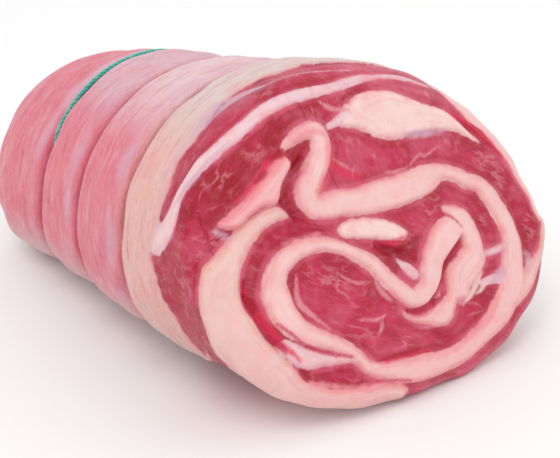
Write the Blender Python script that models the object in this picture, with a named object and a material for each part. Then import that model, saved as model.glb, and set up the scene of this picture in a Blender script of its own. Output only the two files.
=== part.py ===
"""Boneless breast of lamb, rolled and held by three elastic string loops.

The roll lies along Y with its cut end toward -Y and rests on Z = 0.
Sizes are millimetres, turned to metres when the vertices are written.
"""
import math

import bmesh
import bpy
import numpy
from mathutils import Vector
from mathutils.bvhtree import BVHTree

MM = 0.001

# Roll: half width, height and sideways shift at stations along its length.
STATION_Y = numpy.array([0.0, 30.0, 60.0, 90.0, 120.0, 152.0])
HALF_WIDTH = numpy.array([60.0, 53.0, 49.5, 43.5, 37.0, 30.0])
HEIGHT = numpy.array([95.5, 89.5, 83.0, 76.0, 70.5, 62.0])
SIDE_SHIFT = numpy.array([-0.5, -1.0, -0.8, 0.7, 0.9, -0.5])
LENGTH = 161.5
OVAL_POWER = 2.2
PEAR_SHAPE = 0.05
LEAN_FRONT = 0.23
LEAN_CHANGE = -0.28
FOOT_DEPTH = 1.5
FOOT_SNAP = 0.05

# Cut end: an oblique plane, its slant fading out along the side.
CUT_BACK = 6.7
CUT_SLANT_X = -0.083
CUT_SLANT_Z = 0.348
SLANT_FADE = 31.0
RIM_DEPTH = 10.0
RIM_SHARE = 0.17
RIM_POWER = 2.2
CUT_DOME = 1.8
END_DEPTH = 21.0
END_SHARE = 0.42

# Grooves pulled in by the strings: place, depth and tilt round the roll.
GROOVES = ((62.0, 2.6, 4.2, -2.7), (91.4, 2.8, 0.5, -1.8), (120.4, 2.6, 2.0, -3.5))
GROOVE_NEAR = 2.0
GROOVE_FAR = 3.6
GROOVE_UNDER = 0.9

# Swellings of the cut rim: angle, place, height, spread in degrees, in length.
SWELLINGS = (
    (306.0, -4.0, -1.6, 11.0, 22.0),
    (278.0, -8.0, 1.0, 9.0, 22.0),
    (257.0, 0.0, -0.8, 10.0, 20.0),
    (5.0, 6.0, -0.5, 12.0, 20.0),
)

# Folds of the cut end: centre line across and up the cut, with half width.
FAT_FOLD = (
    (-19, 30, 1.2), (-11, 32.5, 1.8), (-6.5, 31, 2.6), (-11, 23.5, 3.0), (-17.5, 18, 3.3),
    (-15.5, 13.5, 3.3), (-3, 11.2, 3.5), (11.5, 10.5, 4.0), (22.5, 11.3, 3.0), (29.7, 10, 2.2),
    (37.8, 3.5, 2.5), (39.7, -8, 3.2), (36, -20, 3.7), (26.7, -31.3, 3.5), (12.5, -36, 2.6),
    (-5.5, -37.3, 3.4), (-20, -32.5, 2.2), (-28.5, -21, 2.3), (-37.8, -9.6, 3.8), (-36.8, -1, 3.3),
    (-29.8, 4.3, 2.3), (-18, 3.8, 1.9), (-7.5, -4.9, 2.3), (-1.2, -17.2, 2.8), (6.9, -16.6, 3.6),
    (13.3, -8.8, 3.8), (23, -3.6, 3.6), (25.5, -12, 3.0), (14, -21.5, 2.6),
)
FAT_RING = (
    (-27, 15.4, 1.2), (-41.5, 11.2, 3.3), (-51, 3, 6.0), (-54.2, -7, 7.4), (-53, -17, 7.6),
    (-46, -29, 6.0), (-31, -38.5, 4.0),
)
FAT_PAD = (
    (3, 32.8, 1.6), (11, 31.6, 4.8), (22, 29.6, 5.2), (32, 25.8, 3.4), (38, 22.8, 2.4), (43, 17.6, 1.0),
)
FAT_NODULE = ((-20.8, 26.4, 1.8), (-26.5, 22.6, 2.6), (-33.5, 19.4, 2.0), (-42, 17, 1.5))
FAT_ISLAND = ((-10.4, 5.4, 1.7), (-5, 4.5, 2.5), (0, 2.6, 2.6), (4, 0.6, 2.0))
HOLLOWS = (
    ((-14.7, 26, 1.0), (-19.4, 23.5, 1.6), (-23.4, 18.5, 2.1), (-22.8, 13, 0.9)),
    ((-3, -0.9, 1.0), (1, -5, 2.0), (9.8, -3.6, 1.0)),
    ((22.7, -8.5, 0.8), (14.8, -12.8, 1.0), (6.4, -20.3, 1.1), (-2.4, -21.2, 0.8)),
    ((-43.8, 1.2, 0.9), (-45.2, -4.5, 1.6), (-42.8, -17, 0.9)),
)
FOLD_HEIGHT = 1.2
RING_HEIGHT = 0.7
PAD_HEIGHT = 1.3
NODULE_HEIGHT = 1.6
HOLLOW_DEPTH = 2.4
SEAM_DEPTH = 0.7

# Front edge of the outer fat, standing proud of the cut muscle.
FAT_EDGE_Y = 36.5
FAT_EDGE_DROP = 9.0
FAT_EDGE_HEIGHT = 0.9

# Far cut end: the strip of fat coils round the middle.
COIL_PITCH = 15.0
COIL_HEIGHT = 0.7

# Low unevenness of the meat.
WAVE_COUNT = 7
WAVE_HEIGHT = 0.16

# Elastic strings.
STRING_RADIUS = 0.7
STRING_GAP = 0.32
STRING_POINTS = 68
STRING_SETTLE = 0.5

# Mesh fineness.
GRID = 112
MEAT_TRIANGLES = 10200


def station(values, place):
    """Value at a place along the roll, by a smooth curve through the stations."""
    place = numpy.clip(place, STATION_Y[0], STATION_Y[-1])
    index = numpy.clip(numpy.searchsorted(STATION_Y, place, side="right") - 1, 0, len(STATION_Y) - 2)
    slope = numpy.gradient(values, STATION_Y)
    step = STATION_Y[index + 1] - STATION_Y[index]
    t = (place - STATION_Y[index]) / step
    value = (2 * t ** 3 - 3 * t ** 2 + 1) * values[index]
    value = value + (t ** 3 - 2 * t ** 2 + t) * step * slope[index]
    value = value + (3 * t ** 2 - 2 * t ** 3) * values[index + 1]
    return value + (t ** 3 - t ** 2) * step * slope[index + 1]


def pinch(place, cosine, sine):
    """How far the strings and the swellings move the side in toward the middle."""
    depth = numpy.zeros_like(place)
    for middle, deep, tilt_c, tilt_s in GROOVES:
        offset = place - middle - tilt_c * cosine - tilt_s * sine
        rounded = numpy.sqrt(offset ** 2 + 0.36) - 0.6
        width = numpy.where(offset < 0, GROOVE_NEAR, GROOVE_FAR)
        under = 1 + GROOVE_UNDER * numpy.maximum(0, -sine) ** 2
        depth = depth + deep * under * numpy.exp(-(rounded / width) ** 1.2)
    angle = numpy.degrees(numpy.arctan2(sine, cosine)) % 360
    for turn, middle, height, spread, reach in SWELLINGS:
        swing = (angle - turn + 180) % 360 - 180
        depth = depth - height * numpy.exp(-(swing / spread) ** 2 - ((place - middle) / reach) ** 2)
    return depth


def section(cosine, sine):
    """Direction round the rounded oval, as shares of half width and half height."""
    power = 2 / OVAL_POWER
    across = numpy.sign(cosine) * numpy.abs(cosine) ** power
    up = numpy.sign(sine) * numpy.abs(sine) ** power
    return across, up


def outline(path):
    """Share of the radius and depth behind the cut, from 0 at the cut's middle to 3."""
    flat = 1 - RIM_SHARE
    front = numpy.clip((path - flat) / RIM_SHARE, 0, 1) * math.pi / 4
    side = numpy.clip(path - 1, 0, 1)
    front = numpy.where(path > 1, math.pi / 4 + numpy.clip(side / 0.10, 0, 1) * math.pi / 4, front)
    share = numpy.where(path < flat, path, flat + RIM_SHARE * numpy.sin(front) ** (2 / RIM_POWER))
    depth = numpy.where(path < flat, 0, RIM_DEPTH * (1 - numpy.cos(front) ** (2 / RIM_POWER)))
    last = LENGTH - CUT_BACK - END_DEPTH
    along = numpy.clip((side - 0.10) / 0.78, 0, 1)
    depth = numpy.where((path > 1) & (side > 0.10), RIM_DEPTH + (last - RIM_DEPTH) * along, depth)
    early = numpy.clip((side - 0.88) / 0.12, 0, 1) * math.pi / 4
    late = math.pi / 4 + numpy.clip((path - 2) / END_SHARE, 0, 1) * math.pi / 4
    turn = numpy.where(path > 2, late, early)
    back = (path > 1) & (side > 0.88)
    share = numpy.where(back, 1 - END_SHARE + END_SHARE * numpy.cos(turn), share)
    depth = numpy.where(back, last + END_DEPTH * numpy.sin(turn), depth)
    share = numpy.where(path > 2 + END_SHARE, 3 - path, share)
    return share, depth


def place_skin(cosine, sine, share, depth):
    """Point of the skin, and its place on the flattened map of the cut end."""
    across, up = section(cosine, sine)
    fade = numpy.clip(1 - depth / SLANT_FADE, 0, 1)
    fade = fade * fade * (3 - 2 * fade)
    tip_x = station(HALF_WIDTH, depth) * across * share
    tip_z = station(HEIGHT, depth) / 2 * up * share
    along = depth + CUT_BACK + fade * (CUT_SLANT_X * tip_x + CUT_SLANT_Z * tip_z)
    dome = (1 - numpy.clip(share, 0, 1) ** 2) * numpy.clip(1 - depth / 3, 0, 1)
    along = along - CUT_DOME * dome
    half = station(HALF_WIDTH, along)
    tall = station(HEIGHT, along) / 2
    taken = pinch(along, cosine, sine)
    lean = LEAN_FRONT + LEAN_CHANGE * along / 100
    x = station(SIDE_SHIFT, along) + share * (half - taken) * across * (1 - PEAR_SHAPE * up)
    x = x - lean * share * tall * up
    z = tall - FOOT_DEPTH + share * (tall - taken) * up
    reach = numpy.hypot(half * across, tall * up)
    spread = (share * reach + depth) / reach
    return x, along, z, spread * half * across, spread * tall * up


def smooth_line(points, steps=6):
    """Points of a smooth curve through a few given ones."""
    rows = numpy.array(points, dtype=float)
    slopes = numpy.gradient(rows, axis=0)
    line = [rows[0]]
    for i in range(len(rows) - 1):
        for k in range(1, steps + 1):
            t = k / steps
            value = (2 * t ** 3 - 3 * t ** 2 + 1) * rows[i] + (t ** 3 - 2 * t ** 2 + t) * slopes[i]
            value = value + (3 * t ** 2 - 2 * t ** 3) * rows[i + 1] + (t ** 3 - t ** 2) * slopes[i + 1]
            line.append(value)
    return numpy.array(line)


def outside(across, up, points):
    """Distance of map points beyond the edge of a strip, negative inside it."""
    line = smooth_line(points)
    nearest = numpy.full(across.shape, 1e9)
    for start, end in zip(line[:-1], line[1:]):
        way = end[:2] - start[:2]
        t = ((across - start[0]) * way[0] + (up - start[1]) * way[1]) / max(way.dot(way), 1e-9)
        t = numpy.clip(t, 0, 1)
        width = start[2] + (end[2] - start[2]) * t
        distance = numpy.hypot(across - start[0] - way[0] * t, up - start[1] - way[1] * t) - width
        nearest = numpy.minimum(nearest, distance)
    return nearest


def cushion(distance, height, edge=2.4):
    """Rounded shoulder of a fold: full height inside, a shallow seam round it."""
    t = numpy.clip(0.5 - distance / edge, 0, 1)
    seam = numpy.exp(-((distance - 1.3) / 1.2) ** 2)
    return height * t * t * (3 - 2 * t) - SEAM_DEPTH * seam


def relief(path, x, y, z, across, up, angle):
    """Height of folds, hollows and unevenness over the plain roll."""
    lift = cushion(outside(across, up, FAT_FOLD), FOLD_HEIGHT)
    lift = lift + cushion(outside(across, up, FAT_RING), RING_HEIGHT)
    lift = numpy.maximum(lift, cushion(outside(across, up, FAT_PAD), PAD_HEIGHT))
    lift = numpy.maximum(lift, cushion(outside(across, up, FAT_NODULE), NODULE_HEIGHT))
    lift = numpy.maximum(lift, cushion(outside(across, up, FAT_ISLAND), FOLD_HEIGHT))
    for hollow in HOLLOWS:
        t = numpy.clip(0.5 - outside(across, up, hollow) / 2.4, 0, 1)
        lift = lift - HOLLOW_DEPTH * t * t * (3 - 2 * t)
    lift = lift * numpy.clip((1.14 - path) / 0.10, 0, 1)

    edge = FAT_EDGE_Y - FAT_EDGE_DROP * numpy.clip((angle - 180) / 35, 0, 1)
    step = numpy.clip((y - edge) / 1.6 + 0.5, 0, 1)
    step = step * numpy.clip((62 - y) / 20, 0, 1)
    shown = numpy.clip((angle - 60) / 25, 0, 1) * numpy.clip((245 - angle) / 25, 0, 1)
    lift = lift + FAT_EDGE_HEIGHT * step * shown * (path > 1)

    radius = numpy.hypot(x - SIDE_SHIFT[-1], z - HEIGHT[-1] / 2)
    coil = numpy.cos(2 * math.pi * radius / COIL_PITCH - numpy.radians(angle))
    inner = numpy.clip(radius / 6, 0, 1) * numpy.clip((path - 2.25) / 0.2, 0, 1)
    lift = lift + COIL_HEIGHT * numpy.clip(coil * 2, -1, 1) * inner

    waves = numpy.random.RandomState(5)
    for i in range(WAVE_COUNT):
        way = waves.normal(size=3)
        way = way / numpy.linalg.norm(way) * 2 * math.pi / waves.uniform(9, 26)
        shift = waves.uniform(0, 2 * math.pi)
        lift = lift + WAVE_HEIGHT * numpy.sin(way[0] * x + way[1] * y + way[2] * z + shift)
    return lift


def material(name, colour, roughness):
    """Plain surface of one node."""
    made = bpy.data.materials.new(name)
    made.use_nodes = True
    shader = made.node_tree.nodes["Principled BSDF"]
    shader.inputs["Base Color"].default_value = (colour[0], colour[1], colour[2], 1.0)
    shader.inputs["Roughness"].default_value = roughness
    shader.inputs["Metallic"].default_value = 0.0
    return made


def add_object(name, data, collection, surface):
    """Object in the collection with its own material."""
    made = bpy.data.objects.new(name, data)
    data.materials.append(surface)
    collection.objects.link(made)
    return made


def write_places(mesh_data, x, y, z):
    """Move the vertices to the given millimetre places, the foot kept at zero."""
    for vert, px, py, pz in zip(mesh_data.verts, x, y, z):
        vert.co = (px * MM, py * MM, max(pz, 0.0) * MM)


def build_meat(collection):
    """Rolled meat: a fine cube drawn over the roll, then thinned."""
    shape = bmesh.new()
    bmesh.ops.create_cube(shape, size=2.0)
    bmesh.ops.subdivide_edges(shape, edges=shape.edges[:], cuts=GRID - 1, use_grid_fill=True)
    cube = numpy.array([vert.co[:] for vert in shape.verts])
    side = cube[:, 0] * numpy.sqrt(1 - cube[:, 2] ** 2 / 2)
    rise = cube[:, 2] * numpy.sqrt(1 - cube[:, 0] ** 2 / 2)
    radius = numpy.hypot(side, rise)
    cosine = side / numpy.maximum(radius, 1e-9)
    sine = rise / numpy.maximum(radius, 1e-9)
    path = numpy.where(cube[:, 1] < -0.99999, radius, 1 + (cube[:, 1] + 1) / 2)
    path = numpy.where(cube[:, 1] > 0.99999, 3 - radius, path)
    share, depth = outline(path)
    x, y, z, across, up = place_skin(cosine, sine, share, depth)
    write_places(shape, x, y, z)
    shape.normal_update()
    normals = numpy.array([vert.normal[:] for vert in shape.verts])
    angle = numpy.degrees(numpy.arctan2(sine, cosine)) % 360
    lift = relief(path, x, y, z, across, up, angle)
    x = x + normals[:, 0] * lift
    y = y + normals[:, 1] * lift
    z = z + normals[:, 2] * lift
    write_places(shape, x, y, z)
    data = bpy.data.meshes.new("lamb_breast_meat")
    shape.to_mesh(data)
    shape.free()
    surface = material("meat_with_fat", (0.62, 0.20, 0.22), 0.38)
    meat = add_object("lamb_breast_meat", data, collection, surface)
    thin = meat.modifiers.new("thin", "DECIMATE")
    thin.ratio = MEAT_TRIANGLES / (GRID * GRID * 12)
    thin.use_collapse_triangulate = True
    graph = bpy.context.evaluated_depsgraph_get()
    final = bpy.data.meshes.new_from_object(meat.evaluated_get(graph))
    meat.modifiers.remove(thin)
    meat.data = final
    bpy.data.meshes.remove(data)
    final.name = "lamb_breast_meat"
    for vert in final.vertices:
        if vert.co.z < FOOT_SNAP * MM:
            vert.co.z = 0.0
    for face in final.polygons:
        face.use_smooth = True
    return meat


def string_path(tree, middle, tilt_c, tilt_s):
    """Closed path of a string in its groove, pushed out until it clears the meat."""
    turns = numpy.arange(STRING_POINTS) * 2 * math.pi / STRING_POINTS
    cosine = numpy.cos(turns)
    sine = numpy.sin(turns)
    place = middle + tilt_c * cosine + tilt_s * sine + STRING_SETTLE
    across, up = section(cosine, sine)
    tall = station(HEIGHT, place) / 2
    lean = LEAN_FRONT + LEAN_CHANGE * place / 100
    core_x = station(SIDE_SHIFT, place)
    core_z = tall - FOOT_DEPTH
    half = station(HALF_WIDTH, place)
    taken = pinch(place, cosine, sine)
    skin_x = core_x + (half - taken) * across * (1 - PEAR_SHAPE * up) - lean * tall * up
    skin_z = core_z + (tall - taken) * up
    core = [Vector((core_x[i], place[i], core_z[i])) * MM for i in range(STRING_POINTS)]
    path = [Vector((skin_x[i], place[i], skin_z[i])) * MM for i in range(STRING_POINTS)]
    clear = (STRING_RADIUS + STRING_GAP) * MM
    out = [(path[i] - core[i]).normalized() for i in range(STRING_POINTS)]
    path = [path[i] + out[i] * clear * 0.6 for i in range(STRING_POINTS)]
    for sweep in range(60):
        moved = False
        for i in range(STRING_POINTS):
            for share in (0.0, 0.25, 0.5, 0.75):
                j = (i + 1) % STRING_POINTS
                spot = path[i].lerp(path[j], share)
                near, normal, face, distance = tree.find_nearest(spot)
                inside = (spot - near).dot(normal) < 0
                if inside or distance < clear:
                    path[i] = path[i] + out[i] * 0.04 * MM
                    path[j] = path[j] + out[j] * 0.04 * MM
                    moved = True
        if not moved:
            break
    return path


def build_string(name, collection, tree, groove):
    """Elastic string: a closed round cord of even thickness."""
    middle, deep, tilt_c, tilt_s = groove
    path = string_path(tree, middle, tilt_c, tilt_s)
    data = bpy.data.curves.new(name, "CURVE")
    data.dimensions = "3D"
    line = data.splines.new("POLY")
    line.points.add(len(path) - 1)
    for point, spot in zip(line.points, path):
        point.co = (spot.x, spot.y, spot.z, 1.0)
    line.use_cyclic_u = True
    line.use_smooth = True
    data.bevel_depth = STRING_RADIUS * MM
    data.bevel_resolution = 2
    surface = material(name + "_yarn", (0.10, 0.42, 0.36), 0.75)
    return add_object(name, data, collection, surface)


for thing in list(bpy.data.objects):
    bpy.data.objects.remove(thing, do_unlink=True)

roll = bpy.data.collections.new("boneless_lamb_breast")
bpy.context.scene.collection.children.link(roll)
meat = build_meat(roll)
meat_verts = [vert.co.copy() for vert in meat.data.vertices]
meat_faces = [tuple(face.vertices) for face in meat.data.polygons]
skin = BVHTree.FromPolygons(meat_verts, meat_faces)
strings = [
    build_string("string_front", roll, skin, GROOVES[0]),
    build_string("string_middle", roll, skin, GROOVES[1]),
    build_string("string_back", roll, skin, GROOVES[2]),
]

# The origin lies under the middle of the roll.
low = [min(vert[i] for vert in meat_verts) for i in range(3)]
high = [max(vert[i] for vert in meat_verts) for i in range(3)]
middle = Vector(((low[0] + high[0]) / 2, (low[1] + high[1]) / 2, low[2]))
for vert in meat.data.vertices:
    vert.co -= middle
for string in strings:
    for point in string.data.splines[0].points:
        point.co.x -= middle.x
        point.co.y -= middle.y
        point.co.z -= middle.z
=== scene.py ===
import math

import bmesh
import bpy
import numpy as np
from mathutils import Matrix, Vector


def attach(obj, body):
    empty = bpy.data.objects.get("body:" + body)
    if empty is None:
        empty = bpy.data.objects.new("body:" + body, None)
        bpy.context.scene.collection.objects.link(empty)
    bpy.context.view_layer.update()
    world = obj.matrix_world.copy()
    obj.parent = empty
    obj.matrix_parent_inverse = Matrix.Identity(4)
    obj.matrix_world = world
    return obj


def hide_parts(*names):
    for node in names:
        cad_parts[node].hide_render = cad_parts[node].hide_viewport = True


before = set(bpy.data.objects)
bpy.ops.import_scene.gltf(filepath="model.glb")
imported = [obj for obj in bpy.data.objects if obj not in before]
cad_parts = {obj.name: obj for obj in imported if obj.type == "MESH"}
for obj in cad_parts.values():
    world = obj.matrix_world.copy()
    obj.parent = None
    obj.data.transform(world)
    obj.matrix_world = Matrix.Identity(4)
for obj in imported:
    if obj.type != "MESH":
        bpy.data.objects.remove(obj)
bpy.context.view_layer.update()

MM = 0.001

# ---------------------------------------------------------------------------
# The meat. A whole boned breast, a flat sheet of thin muscles with fat between
# them, is coiled up and cut across at the front, so lean and fat show there as
# a spiral. The strings pull four segments out of its length.
# ---------------------------------------------------------------------------

# About the middle of the solids' box, in the roll's own millimetres.
MIDDLE_X = 2.039
MIDDLE_Y = 76.526

# Roll: half width, height and sideways shift at stations along its length.
STATION_Y = np.array([0.0, 30.0, 60.0, 90.0, 120.0, 152.0])
HALF_WIDTH = np.array([60.0, 53.0, 49.5, 43.5, 37.0, 30.0])
HEIGHT = np.array([95.5, 89.5, 83.0, 76.0, 70.5, 62.0])
SIDE_SHIFT = np.array([-0.5, -1.0, -0.8, 0.7, 0.9, -0.5])
LENGTH = 161.5
OVAL_POWER = 2.2
PEAR_SHAPE = 0.05
# The roll leans over by this share of its height, which changes so much every 100 mm.
LEAN_FRONT = 0.23
LEAN_CHANGE = -0.28
FOOT_DEPTH = 1.5
# The cut: how far back it lies, its slants, how soon they fade, its rim and its dome.
CUT_BACK = 6.7
CUT_SLANT_X = -0.083
CUT_SLANT_Z = 0.348
SLANT_FADE = 31.0
RIM_DEPTH = 10.0
RIM_SHARE = 0.17
RIM_POWER = 2.2
CUT_DOME = 1.8
DOME_FADE = 3.0
END_DEPTH = 21.0
END_SHARE = 0.42
# Shares of the way over the side: the outer half of the rim, then the length, and
# from here on the bend into the far end.
RIM_PART = 0.10
LENGTH_PART = 0.78
BEND_FROM = 0.88
BEND_PART = 0.12
# Rows of the mesh lie this much closer, and over this reach, at each groove.
GATHER = 1.6
GATHER_REACH = 6.5
GATHER_STEPS = 801

# Grooves under the strings: place, depth, and tilt across and up the roll, in mm.
GROOVES = ((62.0, 2.6, 4.2, -2.7), (91.4, 2.8, 0.5, -1.8), (120.4, 2.6, 2.0, -3.5))
GROOVE_NEAR = 1.7
GROOVE_FAR = 3.8
GROOVE_UNDER = 0.9
GROOVE_ROUND = 0.6
GROOVE_POWER = 1.2
SLIT_DEPTH = 1.9
SLIT_NEAR = 0.7
SLIT_FAR = 1.3
SLIT_OFFSET = 0.4
# The back string rides high over the top: from, to and the fades there, in degrees,
# then how much shallower its groove and its slit are.
SHOWN_FROM = 56.0
SHOWN_TO = 160.0
SHOWN_FADE_FROM = 10.0
SHOWN_FADE_TO = 12.0
SHOWN_RISE = 0.6
SHOWN_SLIT = 0.95
# Swellings: degrees round the roll, place, height, then reach in degrees and in mm.
SWELLINGS = (
    (306.0, -4.0, -1.6, 11.0, 22.0),
    (278.0, -8.0, 1.0, 9.0, 22.0),
    (257.0, 0.0, -0.8, 10.0, 20.0),
    (5.0, 6.0, -0.5, 12.0, 20.0),
)


def station(values, place):
    """A smooth curve through the values at the stations."""
    place = np.clip(place, STATION_Y[0], STATION_Y[-1])
    index = np.clip(np.searchsorted(STATION_Y, place, side="right") - 1, 0, len(STATION_Y) - 2)
    slope = np.gradient(values, STATION_Y)
    step = STATION_Y[index + 1] - STATION_Y[index]
    t = (place - STATION_Y[index]) / step
    value = (2 * t ** 3 - 3 * t ** 2 + 1) * values[index]
    value = value + (t ** 3 - 2 * t ** 2 + t) * step * slope[index]
    value = value + (3 * t ** 2 - 2 * t ** 3) * values[index + 1]
    return value + (t ** 3 - t ** 2) * step * slope[index + 1]


def pinch(place, cosine, sine):
    """Depth of the string grooves less the swellings, in mm."""
    depth = np.zeros_like(place)
    angle = np.degrees(np.arctan2(sine, cosine)) % 360
    for middle, deep, tilt_c, tilt_s in GROOVES:
        offset = place - middle - tilt_c * cosine - tilt_s * sine
        rounded = np.sqrt(offset ** 2 + GROOVE_ROUND ** 2) - GROOVE_ROUND
        width = np.where(offset < 0, GROOVE_NEAR, GROOVE_FAR)
        under = 1 + GROOVE_UNDER * np.maximum(0, -sine) ** 2
        slit = SLIT_DEPTH
        if middle == GROOVES[-1][0]:
            high = np.clip((angle - SHOWN_FROM) / SHOWN_FADE_FROM, 0, 1)
            high = high * np.clip((SHOWN_TO - angle) / SHOWN_FADE_TO, 0, 1)
            slit = SLIT_DEPTH * (1 - SHOWN_SLIT * high)
            under = under * (1 - SHOWN_RISE * high * np.clip(sine, 0, 1) ** 2)
        depth = depth + deep * under * np.exp(-(rounded / width) ** GROOVE_POWER)
        width = np.where(offset < SLIT_OFFSET, SLIT_NEAR, SLIT_FAR)
        depth = depth + slit * np.exp(-(np.abs(offset - SLIT_OFFSET) / width) ** 2)
    for turn, middle, height, spread, reach in SWELLINGS:
        swing = (angle - turn + 180) % 360 - 180
        depth = depth - height * np.exp(-(swing / spread) ** 2 - ((place - middle) / reach) ** 2)
    return depth


def section(cosine, sine):
    """Across and up on the rounded oval of a cross section, as shares of its half sizes."""
    power = 2 / OVAL_POWER
    across = np.sign(cosine) * np.abs(cosine) ** power
    return across, np.sign(sine) * np.abs(sine) ** power


def gathered(along, first, last):
    """Rows along the roll, gathered closer where the grooves are."""
    even = np.linspace(0, 1, GATHER_STEPS)
    place = first + (last - first) * even + CUT_BACK
    near = sum(np.exp(-((place - groove[0]) / GATHER_REACH) ** 4) for groove in GROOVES)
    density = 1 + GATHER * near
    total = np.concatenate([[0], np.cumsum((density[1:] + density[:-1]) / 2)])
    return np.interp(along, total / total[-1], even)


def outline(path):
    """Share of the radius and depth behind the cut, at a place on the path: 0 is the middle
    of the cut, 1 its rim, 2 the far rim and 3 the middle of the far end."""
    flat = 1 - RIM_SHARE
    front = np.clip((path - flat) / RIM_SHARE, 0, 1) * math.pi / 4
    side = np.clip(path - 1, 0, 1)
    outer = math.pi / 4 + np.clip(side / RIM_PART, 0, 1) * math.pi / 4
    front = np.where(path > 1, outer, front)
    share = np.where(path < flat, path, flat + RIM_SHARE * np.sin(front) ** (2 / RIM_POWER))
    depth = np.where(path < flat, 0, RIM_DEPTH * (1 - np.cos(front) ** (2 / RIM_POWER)))
    last = LENGTH - CUT_BACK - END_DEPTH
    along = gathered(np.clip((side - RIM_PART) / LENGTH_PART, 0, 1), RIM_DEPTH, last)
    behind = (path > 1) & (side > RIM_PART)
    depth = np.where(behind, RIM_DEPTH + (last - RIM_DEPTH) * along, depth)
    early = np.clip((side - BEND_FROM) / BEND_PART, 0, 1) * math.pi / 4
    late = math.pi / 4 + np.clip((path - 2) / END_SHARE, 0, 1) * math.pi / 4
    turn = np.where(path > 2, late, early)
    back = (path > 1) & (side > BEND_FROM)
    share = np.where(back, 1 - END_SHARE + END_SHARE * np.cos(turn), share)
    depth = np.where(back, last + END_DEPTH * np.sin(turn), depth)
    share = np.where(path > 2 + END_SHARE, 3 - path, share)
    return share, depth


def place_skin(cosine, sine, share, depth):
    """x, y, z of the plain roll and the place on the flattened map of the cut end, in mm."""
    across, up = section(cosine, sine)
    fade = np.clip(1 - depth / SLANT_FADE, 0, 1)
    fade = fade * fade * (3 - 2 * fade)
    tip_x = station(HALF_WIDTH, depth) * across * share
    tip_z = station(HEIGHT, depth) / 2 * up * share
    along = depth + CUT_BACK + fade * (CUT_SLANT_X * tip_x + CUT_SLANT_Z * tip_z)
    along = along - CUT_DOME * (1 - np.clip(share, 0, 1) ** 2) * np.clip(1 - depth / DOME_FADE, 0, 1)
    half = station(HALF_WIDTH, along)
    tall = station(HEIGHT, along) / 2
    taken = pinch(along, cosine, sine)
    lean = LEAN_FRONT + LEAN_CHANGE * along / 100
    x = station(SIDE_SHIFT, along) + share * (half - taken) * across * (1 - PEAR_SHAPE * up)
    x = x - lean * share * tall * up
    z = tall - FOOT_DEPTH + share * (tall - taken) * up
    reach = np.hypot(half * across, tall * up)
    spread = (share * reach + depth) / reach
    return x, along, z, spread * half * across, spread * tall * up


# Fat on the cut end, in mm across and up the flattened cut. Rows of three are points
# on the middle of a strip with its half width, rows of two make a closed outline.
FAT_FOLD = (
    (-19.2, 30, 0.4), (-15, 31.7, 1.3), (-11, 32.6, 1.8), (-7.2, 32.4, 2.2), (-6.3, 30.2, 2.7),
    (-8, 26.7, 2.8), (-11, 23.5, 3.0), (-17.4, 18, 3.2), (-17.6, 14.8, 3.2), (-15, 13.3, 3.2),
    (-9, 12.8, 3.5), (-2.7, 11.4, 3.6), (3, 11.1, 4.0), (11.6, 10.5, 4.0), (18.3, 10.9, 3.8),
    (22.6, 11.3, 3.1), (25.6, 11.6, 2.3), (29.7, 10, 2.1), (33.6, 6.8, 2.3), (37.8, 3.5, 2.5),
    (39.7, -3, 3.1), (39.4, -11, 3.1), (36, -20, 3.7), (32.2, -26.6, 3.7), (26.7, -31.3, 3.5),
    (20, -33.8, 2.8), (12.5, -36, 2.6), (3, -37.4, 2.9), (-5.4, -37.3, 3.4), (-13, -36, 3.3),
    (-20.4, -32, 2.1), (-23, -27.4, 2.0), (-25, -24, 2.0), (-29, -20.4, 2.3), (-35, -15.2, 3.1),
    (-37.8, -9.6, 3.8), (-37.8, -4.6, 4.0), (-36.8, -1, 3.3), (-34.3, 2.2, 2.7), (-29.8, 4.3, 2.3),
    (-23.4, 4.9, 2.0), (-17, 3.4, 1.8), (-12, -0.4, 1.8), (-7.5, -4.9, 2.2), (-5, -10.5, 2.4),
    (-1.2, -17.2, 2.8), (2.3, -18.2, 3.0), (6.9, -16.6, 3.6), (9.9, -12.6, 3.6), (13.3, -8.8, 3.8),
    (18, -5.6, 4.0), (22.5, -3.6, 3.2),
)
FAT_LEAF = (
    (22, 1.6), (25, 1.6), (28.2, 0), (29.4, -3), (29.5, -8), (28.6, -12), (27.6, -16.2),
    (24.7, -18.5), (22, -20.7), (18.9, -22.2), (17, -24.4), (13.6, -23.6), (11.7, -24.6),
    (9.4, -27.2), (5.5, -28), (0, -25.5), (-3.6, -23.6), (-4.8, -20.6), (-3.5, -21.6),
    (0.3, -23.5), (5.6, -22.6), (9.6, -21.2), (12, -19.2), (14, -16), (17.2, -13), (20.6, -11),
    (23.3, -9.2),
)
FAT_RING = (
    (-25.3, 14), (-27.4, 16.8), (-31.3, 17.4), (-35, 16.6), (-39.2, 15.3), (-45.4, 12.4),
    (-49.4, 10.2), (-54, 8), (-57.2, 4.6), (-59.4, 1.2), (-61.8, -4), (-62.6, -9), (-63, -16.5),
    (-63, -23), (-61, -31), (-58, -44), (-45, -52), (-20, -52), (-13.5, -42), (-20, -36.8),
    (-26, -35.8), (-30.5, -34.4), (-34, -33), (-38.4, -30.2), (-40.4, -28.2), (-41.2, -24.6),
    (-43.4, -17.8), (-45.2, -14), (-46.6, -8), (-47.4, -3.5), (-46, 2), (-43.5, 6.2),
    (-40.2, 9), (-36.3, 11.4), (-32.5, 13.2), (-28.5, 13.8),
)
FAT_PAD = (
    (1.5, 31.4), (4, 33.8), (7.6, 36.2), (12.6, 37.3), (18, 36.7), (23, 35), (31.5, 29.4),
    (37.2, 26.2), (39.8, 22.8), (42.2, 18.6), (44, 15), (40.4, 18.4), (37.4, 20.4), (32, 22.1),
    (24, 23.4), (17, 23.6), (12.3, 25.4), (9.5, 27.5), (5, 30.2),
)
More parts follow.
